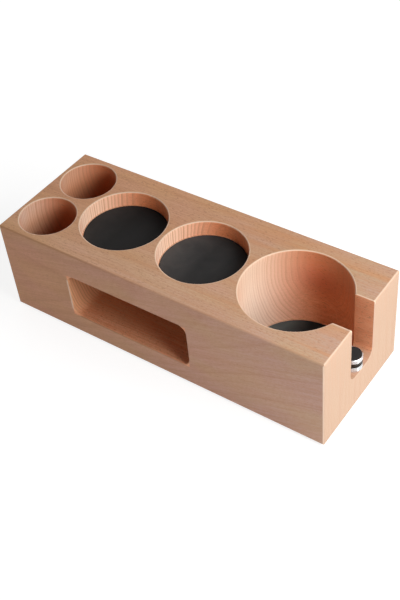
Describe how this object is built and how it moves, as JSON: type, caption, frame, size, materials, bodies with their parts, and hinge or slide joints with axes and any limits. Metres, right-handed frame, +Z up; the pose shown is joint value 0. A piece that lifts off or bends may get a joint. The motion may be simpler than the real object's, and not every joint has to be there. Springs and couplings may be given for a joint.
{
  "type": "tool storage caddy",
  "caption": "Solid beech caddy for espresso tools: padded round recesses, a deep portafilter well, tool holes, a front pocket and a screw-adjusted rest in the slotted end.",
  "frame": {"origin": "middle of the footprint, on the surface that the rubber feet stand on", "axes": "+X along the block towards the slotted end, +Y from the face with the pocket to the back, +Z up"},
  "size_m": [0.3, 0.11, 0.088],
  "materials": {
    "beech": "fine sanded and oiled, satin",
    "black_rubber": "matte",
    "polished_chrome": "polished, knurled",
    "dark_steel": "dark, polished",
    "brass": "turned"
  },
  "bodies": {
    "block": {"body_block": "beech", "tamper_recess_pad": "black_rubber", "distributor_recess_pad": "black_rubber", "portafilter_well_pad": "black_rubber", "threaded_insert": "brass", "foot_front_left": "black_rubber", "foot_front_right": "black_rubber", "foot_rear_left": "black_rubber", "foot_rear_right": "black_rubber"},
    "rest_pad": {"cap_pad": "black_rubber"},
    "rest_screw": {"support_stud": "dark_steel", "support_cap": "polished_chrome"},
    "lock_ring": {"lock_ring": "polished_chrome"}
  },
  "joints": [
    {"name": "rest_height", "type": "slide", "parent": "block", "child": "rest_pad", "axis": [0, 0, 1], "range_m": [0, 0.01]},
    {"name": "rest_turn", "type": "hinge", "parent": "rest_pad", "child": "rest_screw", "pos_m": [0.142, 0, 0.045], "axis": [0, 0, 1], "range_deg": [0, 4500]},
    {"name": "ring_turn", "type": "hinge", "parent": "block", "child": "lock_ring", "pos_m": [0.142, 0, 0.035], "axis": [0, 0, 1], "range_deg": [0, 90]}
  ],
  "couplings": [
    {"joint": "rest_height", "follows": "rest_turn", "m_per_rad": 0.00012732}
  ]
}
